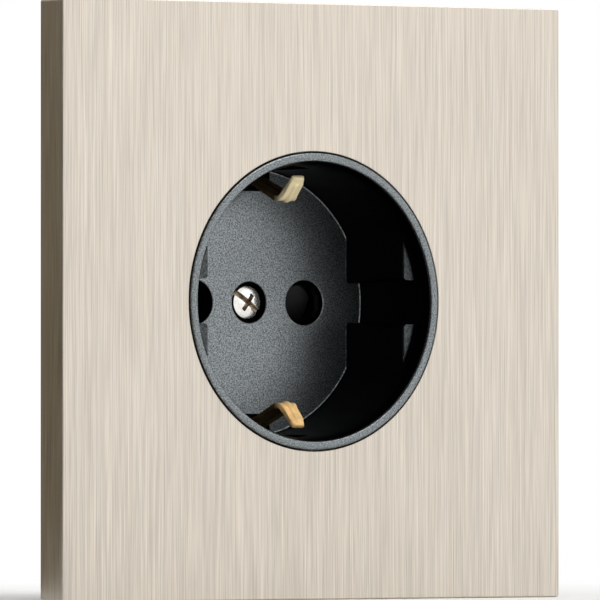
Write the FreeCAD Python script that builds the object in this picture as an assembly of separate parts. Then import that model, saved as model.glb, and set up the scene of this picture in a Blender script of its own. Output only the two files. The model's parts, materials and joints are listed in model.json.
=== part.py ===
# Flush wall socket with side earth clips: a square brushed metal cover plate, a round recessed
# insert, a steel support frame and the contact mechanism that sits in the wall box.
# Millimetres. +Z is up, the socket faces -Y, and the wall surface is the plane y = 0.
# The origin is the centre of the cover plate's rear rim, where the rim meets the wall.
import FreeCAD, Part
import math
import os

# Plug that the socket takes
pin_pitch = 19.0
pin_r = 2.4
pin_length = 19.0

# Cover plate: a metal tray, open towards the wall
plate_depth = 5.8
plate_skin = 1.4
plate_wall = 1.5
plate_corner_r = 0.5
plate_edge_r = 0.25
plate_hole_r = 21.35

# Clip carrier bonded into the tray
carrier_gap = 0.2
carrier_thick = 2.0
carrier_wall = 1.4
carrier_hole_gap = 0.5
carrier_rim_gap = 0.3
carrier_rib_pitch = 11.0
carrier_rib_count = 6
carrier_rib_width = 1.0
carrier_rib_reach = 2.6
carrier_rib_gap = 0.6
lug_offset = 15.0
lug_half_width = 3.0
lug_thick = 1.2
lug_barb = 0.35
lug_gap = 0.15

# Socket insert: ring, well, floor and rear skirt in one moulding
ring_gap = 0.2
ring_proud = 0.3
ring_face = 1.15
ring_outer_round = 0.3
ring_inner_round = 0.2
lead_in = 0.55
lead_depth = 2.2
well_draft = 0.15
well_depth = 17.2
well_wall = 1.6
well_floor_round = 0.3
floor_thick = 2.6
flange_half = 26.0
flange_thick = 1.2
flange_corner_r = 3.0
flat_rise = 2.6
flat_draft = 0.15
flat_drop = 2.4
flat_step_inset = 0.9
flat_step_width = 0.55
flat_step_depth = 0.25
groove_half_top = 3.2
groove_half_floor = 2.8
groove_edge_r = 0.5
notch_half = 3.5
notch_reach = 3.3
window_height = 10.5
channel_gap = 0.8
channel_wall = 1.0
pin_mouth_r = 3.2
pin_mouth_depth = 0.9
pin_taper_depth = 0.5
pin_hole_r = 2.6
edge_break = 0.15
chamber_rib = 1.0
guide_over = 3.0
spring_stop_half = 2.0

# Centre screw
screw_head_r = 2.35
screw_head_height = 1.8
screw_head_crown = 0.35
screw_sunk = 0.25
screw_recess_gap = 0.6
screw_shank_r = 1.5
screw_reach = 4.0
screw_slot_width = 0.75
screw_slot_depth = 0.9
screw_cross_width = 0.62
screw_cross_depth = 1.3
screw_cross_length = 2.9
screw_cross_tip_length = 1.4
screw_slot_turn = 36.0
boss_wall = 1.7
thread_gap = 0.05

# Child-safety shutter and its chamber
slide_gap = 0.1
shutter_thick = 4.4
shutter_lap = 0.8
shutter_side = 0.9
shutter_bridge = 3.0
shutter_toe = 0.6
ramp_top_over = 0.4
boss_slot_gap = 0.2
spring_wire_r = 0.18
spring_r = 1.42
spring_turns = 6
spring_peg_gap = 0.25
spring_peg_length = 1.2
retainer_thick = 1.0
retainer_screw_x = 9.5
retainer_screw_z = -11.0
retainer_boss_r = 2.2
retainer_screw_r = 1.0
retainer_screw_length = 4.2
retainer_head_r = 2.0
retainer_head_top_r = 1.6
retainer_head_height = 1.2
retainer_slot_width = 0.5
retainer_slot_depth = 0.6
retainer_thread_gap = 0.1

# Earth strap with a clip at each end
strap_half_width = 3.4
strap_thick = 0.8
strap_corner_r = 1.0
clip_half_width = 1.7
clip_tip_half_width = 1.2
clip_bend_z = 14.6
clip_bend_rise = 9.6
clip_bend_r = 1.2
clip_neck_length = 2.4
clip_tip_z = 17.9
clip_tip_rise = 12.9
clip_upright_over = 0.1
clip_lean_start = 2.6
clip_lean_r = 2.0
bead_foot_half = 0.6
bead_top_half = 0.3
bead_height = 0.24
bead_back_narrower = 0.1
bead_tip_gap = 0.9
collar_wall = 1.1
collar_length = 2.0

# Support frame
frame_edge_gap = 3.9
frame_thick = 1.0
frame_dish = 0.2
frame_dish_r = 29.0
frame_corner_r = 3.5
frame_opening_gap = 0.5
frame_lip_half = 24.0
frame_lip_height = 1.0
box_screw_pitch = 60.0
box_slot_half_width = 1.8
box_slot_length = 8.0
box_slot_margin = 1.5
screw_window_gap = 2.8
lug_window_gap = 0.45

# Mechanism base, its two spacers and its rear cover
stack_gap = 0.2
base_half_height = 21.2
base_half_width = 19.6
base_flange_thick = 3.0
base_front_wall = 1.5
housing_top_z = -8.0
spacer_gap = 0.6
spacer_depth = 5.3
spacer_half_height = 9.0
spacer_corner_r = 0.6
contact_cavity_r = 4.4
tail_slot_gap = 0.4
rear_cover_thick = 1.8
rear_cover_edge = 0.5
cover_tab_half = 4.0
cover_tab_thick = 1.2
cover_tab_length = 6.0
cover_tab_barb = 0.4
cover_tab_bite = 1.0
lighten_x0 = 5.0
lighten_x1 = 16.0
lighten_z0 = 8.0
lighten_z1 = 17.5
lighten_wall = 2.5
rivet_r = 1.2
rivet_gap = 0.05
rivet_head_r = 2.2
rivet_head_height = 0.6
rivet_shoulder_r = 1.87
rivet_shoulder_height = 0.45
rivet_head_edge = 0.24
rivet_bore_r = 0.7

# Contact sleeves
sleeve_bite = 0.1
sleeve_wall = 0.5
sleeve_front_gap = 0.2
sleeve_over = 0.1
sleeve_rear_gap = 1.1
sleeve_slit = 0.7
sleeve_root_length = 3.0
sleeve_flare = 0.5
sleeve_flare_length = 1.0
tail_thick = 0.6
tail_width = 5.0
ring_spring_gap = 0.1
ring_spring_wall = 0.35
ring_spring_length = 3.0
ring_spring_set = 0.5
ring_spring_opening = 2.2

# Terminals
terminal_x = 13.2
terminal_half_width = 4.5
terminal_top_z = -10.9
terminal_height = 7.3
terminal_rear_gap = 2.1
terminal_pocket_gap = 0.2
wire_offset = 2.35
wire_bore_r = 1.35
wire_entry_r = 1.7
wire_funnel_r = 2.05
terminal_screw_r = 1.2
terminal_screw_head_r = 1.9
terminal_screw_head_height = 1.5
terminal_screw_out = 0.7
terminal_screw_hole_gap = 0.15
terminal_slot_width = 0.6
terminal_slot_depth = 0.7
terminal_screw_clear = 0.25

# Modelling allowances: how far fused features run into each other, how far cutting tools run
# past the material, and the tolerance for picking edges
overlap = 0.5
past = 1.0
tiny = 0.01

# Places that follow from the sizes above
frame_half = (box_screw_pitch + box_slot_length) / 2 + box_slot_margin
carrier_half = frame_half + frame_edge_gap + carrier_wall
plate_half = carrier_half + carrier_gap + plate_wall
front_y = -plate_depth
skin_back_y = front_y + plate_skin
carrier_back_y = skin_back_y + carrier_thick
ring_r = plate_hole_r - ring_gap
ring_front_y = front_y - ring_proud
mouth_r = ring_r - ring_face
lead_r = mouth_r - lead_in
well_r = lead_r - well_draft
shell_r = well_r + well_wall
mid_wall_r = well_r + well_wall / 2
floor_y = ring_front_y + well_depth
floor_back_y = floor_y + floor_thick
flange_back_y = -frame_thick - frame_dish
flange_front_y = flange_back_y - flange_thick
pin_x = pin_pitch / 2
notch_edge = well_r - notch_reach
boss_r = screw_shank_r + boss_wall
shutter_front_y = floor_back_y + slide_gap
shutter_back_y = shutter_front_y + shutter_thick
shutter_drop = pin_hole_r + shutter_lap
shutter_half = pin_x + pin_hole_r + shutter_side
bridge_base_z = boss_r + boss_slot_gap
bridge_top_z = bridge_base_z + shutter_bridge
retainer_y = shutter_back_y + slide_gap
retainer_back_y = retainer_y + retainer_thick
base_y = retainer_back_y + stack_gap
sleeve_y = base_y + base_front_wall + sleeve_front_gap
sleeve_end_y = floor_y + pin_length + sleeve_over
base_back_y = sleeve_end_y + sleeve_rear_gap
cover_back_y = base_back_y + rear_cover_thick
base_flange_y = base_y + base_flange_thick
cover_tab_y = base_back_y - cover_tab_length
strap_back_y = base_y + strap_thick
spring_y = (shutter_front_y + shutter_back_y) / 2
spring_top_z = notch_edge - chamber_rib
upright_z = well_r + clip_upright_over
clip_root_z = upright_z - strap_corner_r - strap_thick
channel_z = upright_z + strap_thick / 2 + channel_gap
window_y = floor_y - window_height
base_r = shell_r + spacer_gap + spacer_depth
rivet_x = shell_r + spacer_gap + spacer_depth / 2
sleeve_r = pin_r - sleeve_bite
terminal_low_z = terminal_top_z - terminal_height
wire_z = terminal_top_z - terminal_height / 2
terminal_y = base_y + base_front_wall + terminal_pocket_gap
terminal_back_y = base_back_y - terminal_rear_gap
terminal_screw_y = (terminal_y + terminal_back_y) / 2
far = 4 * plate_half


def vec(x, y, z):
    return FreeCAD.Vector(x, y, z)


def block(x0, x1, y0, y1, z0, z1):
    """A box between two corners."""
    return Part.makeBox(x1 - x0, y1 - y0, z1 - z0, vec(x0, y0, z0))


def rod(radius, y0, y1, x=0.0, z=0.0):
    """A cylinder along Y."""
    return Part.makeCylinder(radius, y1 - y0, vec(x, y0, z), vec(0, 1, 0))


def cone(r0, r1, y0, y1, x=0.0, z=0.0):
    """A cone along Y, r0 at y0 and r1 at y1."""
    return Part.makeCone(r0, r1, y1 - y0, vec(x, y0, z), vec(0, 1, 0))


def upright_rod(radius, z0, z1, x, y):
    """A cylinder along Z."""
    return Part.makeCylinder(radius, z1 - z0, vec(x, y, z0), vec(0, 0, 1))


def turned(edges):
    """A solid of revolution about the Y axis from a closed section of edges in the XY plane."""
    return Part.Face(Part.Wire(edges)).revolve(vec(0, 0, 0), vec(0, 1, 0), 360)


def line(a, b):
    return Part.LineSegment(vec(a[0], a[1], 0), vec(b[0], b[1], 0)).toShape()


def arc(a, mid, b):
    return Part.Arc(vec(a[0], a[1], 0), vec(mid[0], mid[1], 0), vec(b[0], b[1], 0)).toShape()


def quarter(a, corner, b):
    """A rounded corner: an arc from a to b that bulges towards the corner point."""
    centre = (a[0] + b[0] - corner[0], a[1] + b[1] - corner[1])
    k = math.sqrt(0.5)
    mid = (centre[0] + (corner[0] - centre[0]) * k, centre[1] + (corner[1] - centre[1]) * k)
    return arc(a, mid, b)


def prism(points, start, along):
    """A polygon of 3-D points, moved by start and pushed along a vector."""
    corners = [vec(*p) + start for p in points]
    return Part.Face(Part.makePolygon(corners + corners[:1])).extrude(along)


def slab(half_x, half_z, corner_r, y0, y1):
    """A plate with rounded corners, square to Y."""
    plate = block(-half_x, half_x, y0, y1, -half_z, half_z)
    corners = [e for e in plate.Edges if abs(e.tangentAt(e.FirstParameter).y) > 0.99]
    return plate.makeFillet(corner_r, corners)


def slot(half_width, length, y0, y1, x, z, upright):
    """A slotted hole's tool, its length along X, or along Z when upright."""
    run = length / 2 - half_width
    dx, dz = (0.0, run) if upright else (run, 0.0)
    wx, wz = (half_width, run) if upright else (run, half_width)
    ends = [rod(half_width, y0, y1, x + s * dx, z + s * dz) for s in (-1, 1)]
    return block(x - wx, x + wx, y0, y1, z - wz, z + wz).fuse(ends)


def circles(shape, radius, y):
    """The circular edges of one radius in one plane square to Y."""
    return [e for e in shape.Edges if e.Curve.TypeId == "Part::GeomCircle"
            and abs(e.Curve.Radius - radius) < tiny and abs(e.CenterOfMass.y - y) < tiny]


def pair(place, side):
    """Two limits in rising order, on the side that the sign says."""
    return sorted((side * place[0], side * place[1]))


def mirrored(shape):
    """The shape mirrored top to bottom."""
    return shape.mirror(vec(0, 0, 0), vec(0, 0, 1))


def one(shape):
    """The single solid that a node must be, with its split faces merged."""
    shape = shape.removeSplitter()
    if len(shape.Solids) != 1:
        raise ValueError(f"expected one solid, got {len(shape.Solids)}")
    return shape.Solids[0]


def rounded_path(points, radii, plane):
    """A wire of straight runs and tangent arcs; plane turns a pair of numbers into a point."""
    places = [plane(*p) for p in points]
    edges = []
    last = places[0]
    for before, here, after, radius in zip(places, places[1:], places[2:], radii):
        to_here = (here - before).normalize()
        onward = (after - here).normalize()
        turn = to_here.getAngle(onward)
        reach = radius * math.tan(turn / 2)
        start = here - to_here * reach
        end = here + onward * reach
        inward = (onward - to_here).normalize()
        middle = here + inward * (radius / math.cos(turn / 2) - radius)
        edges.append(Part.LineSegment(last, start).toShape())
        edges.append(Part.Arc(start, middle, end).toShape())
        last = end
    edges.append(Part.LineSegment(last, places[-1]).toShape())
    return Part.Wire(edges)


def cover_plate():
    """Square metal tray with softly broken front edges and the round opening."""
    tray = slab(plate_half, plate_half, plate_corner_r, front_y, 0)
    front = [e for e in tray.Edges if e.BoundBox.YMax < front_y + tiny]
    tray = tray.makeFillet(plate_edge_r, front)
    inner = plate_half - plate_wall
    tray = tray.cut(slab(inner, inner, plate_corner_r, skin_back_y, past))
    tray = tray.cut(rod(plate_hole_r, front_y - past, past))
    return one(tray.makeChamfer(edge_break, circles(tray, plate_hole_r, front_y)))


def carrier_lug(side_x, side_z):
    """One snap lug: it passes the insert's flange and hooks behind its edge."""
    x0 = side_x * lug_offset - lug_half_width
    x1 = side_x * lug_offset + lug_half_width
    inner = flange_half + lug_gap
    outer = inner + lug_thick
    catch = flange_half - lug_barb + lug_gap
    catch_y = flange_back_y + thread_gap
    tip_y = -carrier_rim_gap
    root_y = carrier_back_y - overlap
    profile = [(0, root_y, inner), (0, catch_y, inner), (0, catch_y, catch), (0, tip_y, inner),
               (0, tip_y, outer), (0, root_y, outer)]
    lug = prism(profile, vec(x0, 0, 0), vec(x1 - x0, 0, 0))
    return lug if side_z > 0 else mirrored(lug)


def carrier_ribs():
    """Short stiffening ribs along the inside of the carrier's rim wall, on all four sides."""
    inner = carrier_half - carrier_wall
    ribs = []
    for index in range(carrier_rib_count):
        at = (index - (carrier_rib_count - 1) / 2) * carrier_rib_pitch
        rib = block(at - carrier_rib_width / 2, at + carrier_rib_width / 2, carrier_back_y - overlap,
                    -carrier_rib_gap, inner - carrier_rib_reach, inner + overlap)
        for turn in range(4):
            copy = rib.copy()
            copy.rotate(vec(0, 0, 0), vec(0, 1, 0), turn * 90)
            ribs.append(copy)
    return ribs


def whole_carrier():
    """Moulded frame behind the metal skin, with a rim wall, ribs and four snap lugs."""
    body = slab(carrier_half, carrier_half, plate_corner_r, skin_back_y, -carrier_rim_gap)
    inner = carrier_half - carrier_wall
    body = body.cut(slab(inner, inner, plate_corner_r, carrier_back_y, past))
    holes = [rod(ring_r + carrier_hole_gap, front_y, past)]
    half = box_screw_pitch / 2
    for x, z in ((half, 0), (-half, 0), (0, half), (0, -half)):
        holes.append(rod(box_slot_half_width + screw_window_gap, front_y, past, x, z))
    body = body.cut(holes)
    lugs = [carrier_lug(sx, sz) for sx in (-1, 1) for sz in (-1, 1)]
    return one(body.fuse(lugs + carrier_ribs()))


def carrier_side(side):
    """The left or right half of the one-piece carrier, parted down its middle for collision."""
    half = block(0, far, -far, far, -far, far)
    if side < 0:
        half = half.mirror(vec(0, 0, 0), vec(1, 0, 0))
    return one(whole_carrier().common(half))


def insert_section():
    """Half section of ring, well, floor and skirt, as radius against depth."""
    lead_y = ring_front_y + lead_depth
    inner_low = (mouth_r, ring_front_y + ring_inner_round)
    inner_top = (mouth_r + ring_inner_round, ring_front_y)
    outer_top = (ring_r - ring_outer_round, ring_front_y)
    outer_low = (ring_r, ring_front_y + ring_outer_round)
    floor_in = (well_r - well_floor_round, floor_y)
    floor_up = (well_r, floor_y - well_floor_round)
    return [
        line((0, floor_y), floor_in),
        quarter(floor_in, (well_r, floor_y), floor_up),
        line(floor_up, (lead_r, lead_y)),
        line((lead_r, lead_y), inner_low),
        quarter(inner_low, (mouth_r, ring_front_y), inner_top),
        line(inner_top, outer_top),
        quarter(outer_top, (ring_r, ring_front_y), outer_low),
        line(outer_low, (ring_r, flange_front_y)),
        line((ring_r, flange_front_y), (shell_r, flange_front_y)),
        line((shell_r, flange_front_y), (shell_r, retainer_y)),
        line((shell_r, retainer_y), (well_r, retainer_y)),
        line((well_r, retainer_y), (well_r, floor_back_y)),
        line((well_r, floor_back_y), (0, floor_back_y)),
        line((0, floor_back_y), (0, floor_y)),
    ]


def insert_flange():
    """Square flange that the support frame backs, with clearances at the rivet heads."""
    flange = slab(flange_half, flange_half, flange_corner_r, flange_front_y, flange_back_y)
    flange = flange.cut(rod(mid_wall_r, flange_front_y - past, past))
    clear = rivet_head_r + stack_gap
    for side in (-1, 1):
        x0, x1 = pair((rivet_x, flange_half + past), side)
        flange = flange.cut(rod(clear, flange_front_y - past, past, side * rivet_x))
        flange = flange.cut(block(x0, x1, flange_front_y - past, past, -clear, clear))
    return flange


def guide_flat(side):
    """A drafted flat at one side of the well, split by the groove that the plug's rib slides in."""
    top_y = ring_front_y + flat_drop
    deep_y = floor_y + well_floor_round
    chord = well_r - flat_rise
    outline = [(chord + flat_draft, top_y, 0), (shell_r, top_y, 0),
               (shell_r, deep_y, 0), (chord, deep_y, 0)]
    body = prism(outline, vec(0, 0, -well_r), vec(0, 0, 2 * well_r))
    body = body.common(rod(mid_wall_r, top_y, deep_y))
    groove = [(0, top_y - past, -groove_half_top), (0, top_y - past, groove_half_top),
              (0, deep_y + past, groove_half_floor), (0, deep_y + past, -groove_half_floor)]
    body = body.cut(prism(groove, vec(0, 0, 0), vec(far, 0, 0)))
    step_r = lead_r - flat_step_inset
    step = rod(step_r + flat_step_width, top_y - past, top_y + flat_step_depth)
    body = body.cut(step.cut(rod(step_r, top_y - 2 * past, top_y + past)))
    corners = [e for e in body.Edges
               if e.BoundBox.YLength > flat_rise and e.BoundBox.XMax < chord + flat_draft + tiny
               and abs(e.CenterOfMass.z) < groove_half_top]
    body = body.makeFillet(groove_edge_r, corners)
    if side < 0:
        body.rotate(vec(0, 0, 0), vec(0, 1, 0), 180)
    return body


def pin_hole(x):
    """Tool for a pin hole: broken edge, wide mouth, short taper and the guiding land."""
    taper_y = floor_y + pin_mouth_depth
    land_y = taper_y + pin_taper_depth
    return rod(pin_hole_r, floor_y - past, floor_back_y + past, x).fuse([
        cone(pin_mouth_r + edge_break, pin_mouth_r, floor_y, floor_y + edge_break, x),
        rod(pin_mouth_r, floor_y, taper_y, x),
        cone(pin_mouth_r, pin_hole_r, taper_y, land_y, x),
    ])


def chamber_walls():
    """Guides, stops and bosses behind the floor, inside the skirt."""
    y0 = floor_y + floor_thick / 2
    inner = shutter_half + slide_gap
    low = -shutter_drop - slide_gap
    walls = [block(-spring_stop_half, spring_stop_half, y0, retainer_y, spring_top_z, notch_edge)]
    for side in (-1, 1):
        x0, x1 = pair((inner, inner + chamber_rib), side)
        walls.append(block(x0, x1, y0, retainer_y, low - chamber_rib, bridge_top_z + guide_over))
        x0, x1 = pair((pin_x - pin_hole_r, inner + chamber_rib), side)
        walls.append(block(x0, x1, y0, retainer_y, low - chamber_rib, low))
        walls.append(rod(retainer_boss_r, y0, retainer_y, side * retainer_screw_x, retainer_screw_z))
    walls.append(rod(boss_r, y0, base_y))
    return walls


def socket_insert():
    """The dark moulded insert: ring, drafted well with guide flats, floor, notches and skirt."""
    body = turned(insert_section()).fuse(insert_flange())
    body = body.fuse([guide_flat(1), guide_flat(-1)])
    shroud = notch_half + channel_wall
    for side in (-1, 1):
        z0, z1 = pair((mid_wall_r, channel_z + channel_wall), side)
        body = body.fuse(block(-shroud, shroud, window_y - channel_wall, retainer_y, z0, z1))
        z0, z1 = pair((notch_edge, channel_z), side)
        body = body.cut(block(-notch_half, notch_half, window_y, retainer_y + past, z0, z1))
    body = body.fuse(chamber_walls())
    head_seat_y = floor_y + screw_sunk + screw_head_height
    recess_r = screw_head_r + screw_recess_gap
    tools = [pin_hole(pin_x), pin_hole(-pin_x)]
    tools.append(rod(recess_r, floor_y - past, head_seat_y))
    tools.append(cone(recess_r + edge_break, recess_r, floor_y, floor_y + edge_break))
    tools.append(rod(screw_shank_r + slide_gap, floor_y, base_y + past))
    for side in (-1, 1):
        tools.append(rod(retainer_screw_r - thread_gap, floor_back_y + thread_gap, retainer_y + past,
                         side * retainer_screw_x, retainer_screw_z))
    return one(body.cut(tools))


def centre_screw():
    """Machine screw with a crowned head that has both a slot and a cross recess."""
    top_y = floor_y + screw_sunk
    seat_y = top_y + screw_head_height
    crown_y = top_y + screw_head_crown
    end_y = strap_back_y + screw_reach
    edge = (screw_head_r, crown_y)
    dome_r = (screw_head_r ** 2 + screw_head_crown ** 2) / (2 * screw_head_crown)
    half_r = screw_head_r / 2
    middle = (half_r, top_y + dome_r - math.sqrt(dome_r ** 2 - half_r ** 2))
    section = [
        arc((0, top_y), middle, edge),
        line(edge, (screw_head_r, seat_y)),
        line((screw_head_r, seat_y), (screw_shank_r, seat_y)),
        line((screw_shank_r, seat_y), (screw_shank_r, end_y - edge_break)),
        line((screw_shank_r, end_y - edge_break), (screw_shank_r - edge_break, end_y)),
        line((screw_shank_r - edge_break, end_y), (0, end_y)),
        line((0, end_y), (0, top_y)),
    ]
    half = screw_slot_width / 2
    cuts = block(-screw_head_r, screw_head_r, top_y - past, top_y + screw_slot_depth, -half, half)
    half = screw_cross_width / 2
    reach = screw_cross_length / 2
    tip = screw_cross_tip_length / 2
    tip_y = top_y + screw_cross_depth
    for turn in (0, 90):
        wedge = [(-reach, top_y, 0), (reach, top_y, 0), (tip, tip_y, 0), (-tip, tip_y, 0)]
        bar = prism(wedge, vec(0, 0, -half), vec(0, 0, 2 * half))
        bar.rotate(vec(0, 0, 0), vec(0, 1, 0), turn)
        cuts = cuts.fuse(bar)
    cuts.rotate(vec(0, 0, 0), vec(0, 1, 0), screw_slot_turn)
    return one(turned(section).cut(cuts))


def shutter():
    """Sprung slide with a ramp in front of each contact, joined by a bridge over the screw boss."""
    toe_y = shutter_back_y - shutter_toe
    ramp_z = pin_hole_r + ramp_top_over
    side_view = [(0, shutter_front_y, ramp_z), (0, shutter_front_y, bridge_top_z),
                 (0, shutter_back_y, bridge_top_z), (0, shutter_back_y, -shutter_drop),
                 (0, toe_y, -shutter_drop)]
    body = prism(side_view, vec(-shutter_half, 0, 0), vec(2 * shutter_half, 0, 0))
    gap = boss_r + boss_slot_gap
    body = body.cut(block(-gap, gap, floor_back_y, retainer_y, -far, bridge_base_z))
    peg_r = spring_r - spring_wire_r - spring_peg_gap
    peg = upright_rod(peg_r, bridge_top_z - overlap, bridge_top_z + spring_peg_length, 0, spring_y)
    return one(body.fuse(peg))


def shutter_spring():
    """Coil spring between the shutter's bridge and the stop at the top of the chamber."""
    length = spring_top_z - bridge_top_z - 2 * spring_wire_r
    pitch = length / spring_turns
    path = Part.makeHelix(pitch, length, spring_r)
    uphill = vec(0, 2 * math.pi * spring_r, pitch)
    ring = Part.Wire([Part.makeCircle(spring_wire_r, vec(spring_r, 0, 0), uphill)])
    coil = Part.Wire(path).makePipeShell([ring], True, True)
    coil.translate(vec(0, spring_y, bridge_top_z + spring_wire_r))
    return one(coil)


def shutter_retainer():
    """Round lid that closes the shutter's chamber from behind."""
    lid = rod(shell_r, retainer_y, retainer_back_y)
    y0, y1 = retainer_y - past, retainer_back_y + past
    tools = [rod(boss_r + slide_gap, y0, y1)]
    for side in (-1, 1):
        tools.append(rod(pin_hole_r + stack_gap, y0, y1, side * pin_x))
        tools.append(rod(retainer_screw_r + slide_gap, y0, y1, side * retainer_screw_x, retainer_screw_z))
        z0, z1 = pair((notch_edge, far), side)
        tools.append(block(-notch_half, notch_half, y0, y1, z0, z1))
    return one(lid.cut(tools))


def retainer_screws():
    """Two small screws that hold the lid, as separate solids."""
    seat_y = retainer_back_y
    top_y = seat_y + retainer_head_height
    z = retainer_screw_z
    half = retainer_slot_width / 2
    shank_r = retainer_screw_r - retainer_thread_gap
    screws = []
    for side in (-1, 1):
        x = side * retainer_screw_x
        shank = rod(shank_r, seat_y - retainer_screw_length, seat_y + overlap, x, z)
        head = cone(retainer_head_r, retainer_head_top_r, seat_y, top_y, x, z)
        cut = block(x - retainer_head_r, x + retainer_head_r, top_y - retainer_slot_depth, top_y + past,
                    z - half, z + half)
        screws.append(one(shank.fuse(head).cut(cut)))
    return Part.makeCompound(screws)


def clip_outline(wide, slim, tip_y):
    """Outline of a clip seen from above: straight, then narrower, with a round end at tip_y."""
    waist_y = floor_y - clip_bend_rise + clip_bend_r
    neck_y = waist_y - clip_neck_length
    round_y = tip_y + slim
    foot_y = strap_back_y + past
    edges = [
        line((-wide, foot_y), (-wide, waist_y)),
        line((-wide, waist_y), (-slim, neck_y)),
        line((-slim, neck_y), (-slim, round_y)),
        arc((-slim, round_y), (0, tip_y), (slim, round_y)),
        line((slim, round_y), (slim, neck_y)),
        line((slim, neck_y), (wide, waist_y)),
        line((wide, waist_y), (wide, foot_y)),
        line((wide, foot_y), (-wide, foot_y)),
    ]
    return Part.Face(Part.Wire(edges)).extrude(vec(0, 0, far))


def clip_sweep(foot_half, top_half, low, high):
    """A four-sided section swept along the upper clip: out of the notch, in to the bend, then the tip."""
    strap_y = base_y + strap_thick / 2
    points = [(strap_y, clip_root_z), (strap_y, upright_z), (floor_y + clip_lean_start, upright_z),
              (floor_y - clip_bend_rise, clip_bend_z), (floor_y - clip_tip_rise, clip_tip_z)]
    path = rounded_path(points, [strap_corner_r, clip_lean_r, clip_bend_r], lambda y, z: vec(0, y, z))
    section = [(-foot_half, low), (foot_half, low), (top_half, high), (-top_half, high)]
    corners = [vec(x, strap_y - t, clip_root_z) for x, t in section]
    return path.makePipeShell([Part.makePolygon(corners + corners[:1])], True, False)


def earth_clip():
    """The upper clip: a strip with a pressed bead that ends short of the round tip."""
    half = strap_thick / 2
    foot, top = bead_foot_half, bead_top_half
    tip_y = floor_y - clip_tip_rise - half
    strip = clip_sweep(clip_half_width, clip_half_width, -half, half)
    strip = strip.common(clip_outline(clip_half_width + slide_gap, clip_tip_half_width, tip_y))
    bead = clip_sweep(foot, top, half - bead_height, half + bead_height)
    bead = bead.common(clip_outline(foot + slide_gap, foot - bead_back_narrower, tip_y + bead_tip_gap))
    dent = clip_sweep(foot, top - bead_back_narrower, -half - bead_height, -half + bead_height)
    dent = dent.common(clip_outline(foot + slide_gap, foot - bead_back_narrower, tip_y + bead_tip_gap))
    return strip.fuse(bead).cut(dent)


def earth_strap():
    """Flat bar across the base with a threaded collar, and a spring clip bent up at each end."""
    end = clip_root_z + overlap
    bar = block(-strap_half_width, strap_half_width, base_y, strap_back_y, -end, end)
    collar = rod(screw_shank_r + collar_wall, base_y, strap_back_y + collar_length)
    clip = earth_clip()
    body = bar.fuse([collar, clip, mirrored(clip)])
    thread = rod(screw_shank_r + thread_gap, base_y - past, strap_back_y + collar_length + past)
    return one(body.cut(thread))


def support_frame():
    """Pressed steel frame with stiffening lips, box screw slots and windows for the snap lugs."""
    sheet = slab(frame_half, frame_half, frame_corner_r, -frame_thick, 0)
    sheet = sheet.fuse(rod(frame_dish_r, flange_back_y, 0))
    sheet = sheet.cut(rod(frame_dish_r - frame_dish, -frame_dish, past))
    lip = block(-frame_lip_half, frame_lip_half, -frame_thick - frame_lip_height, 0,
                frame_half - frame_thick, frame_half)
    lips = []
    for turn in range(4):
        copy = lip.copy()
        copy.rotate(vec(0, 0, 0), vec(0, 1, 0), turn * 90)
        lips.append(copy)
    sheet = sheet.fuse(lips)
    y0, y1 = -far, far
    tools = [rod(shell_r + frame_opening_gap, y0, y1)]
    half = box_screw_pitch / 2
    x_half = notch_half + channel_wall + frame_opening_gap
    z_half = channel_z + channel_wall + frame_opening_gap
    tools.append(block(-x_half, x_half, y0, y1, -z_half, z_half))
    for side in (-1, 1):
        tools.append(slot(box_slot_half_width, box_slot_length, y0, y1, side * half, 0, False))
        tools.append(slot(box_slot_half_width, box_slot_length, y0, y1, 0, side * half, True))
        tools.append(rod(rivet_r + rivet_gap, y0, y1, side * rivet_x))
    x_half = lug_half_width + lug_window_gap
    near = flange_half + lug_gap - lug_barb - lug_window_gap
    away = flange_half + lug_gap + lug_thick + lug_window_gap
    for sx in (-1, 1):
        for sz in (-1, 1):
            z0, z1 = pair((near, away), sz)
            tools.append(block(sx * lug_offset - x_half, sx * lug_offset + x_half, y0, y1, z0, z1))
    return one(sheet.cut(tools))


def base_outline(half_width, y0, y1):
    """The base's outline: a circle with flat top, bottom and sides, extruded along Y."""
    half = base_half_height
    return rod(base_r, y0, y1).common(block(-half_width, half_width, y0, y1, -half, half))


def terminal_pocket(x):
    """Pocket for a terminal block, open to the rear cover."""
    half = terminal_half_width + terminal_pocket_gap
    low = terminal_low_z - terminal_pocket_gap
    top = terminal_top_z + tail_thick + terminal_pocket_gap
    return block(x - half, x + half, terminal_y, base_back_y + past, low, top)


def terminal_places():
    """Centre of each terminal block along X: live, earth and neutral."""
    return (-terminal_x, 0.0, terminal_x)


def wire_places():
    """Centre of each wire bore along X, two for each terminal."""
    return [x + side * wire_offset for x in terminal_places() for side in (-1, 1)]


def spacer(side):
    """Curved spacer beside the insert's skirt, held by a rivet between the support frame and the base."""
    ring = rod(base_r, -frame_dish, base_y).cut(rod(shell_r + spacer_gap, -past, base_y + past))
    x0, x1 = pair((pin_x, base_r), side)
    body = ring.common(block(x0, x1, -past, base_y, -spacer_half_height, spacer_half_height))
    corners = [e for e in body.Edges if e.BoundBox.YLength > spacer_depth and e.BoundBox.XLength < tiny]
    body = body.makeFillet(spacer_corner_r, corners)
    return one(body.cut(rod(rivet_r + rivet_gap, -past, base_y + past, side * rivet_x)))


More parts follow.
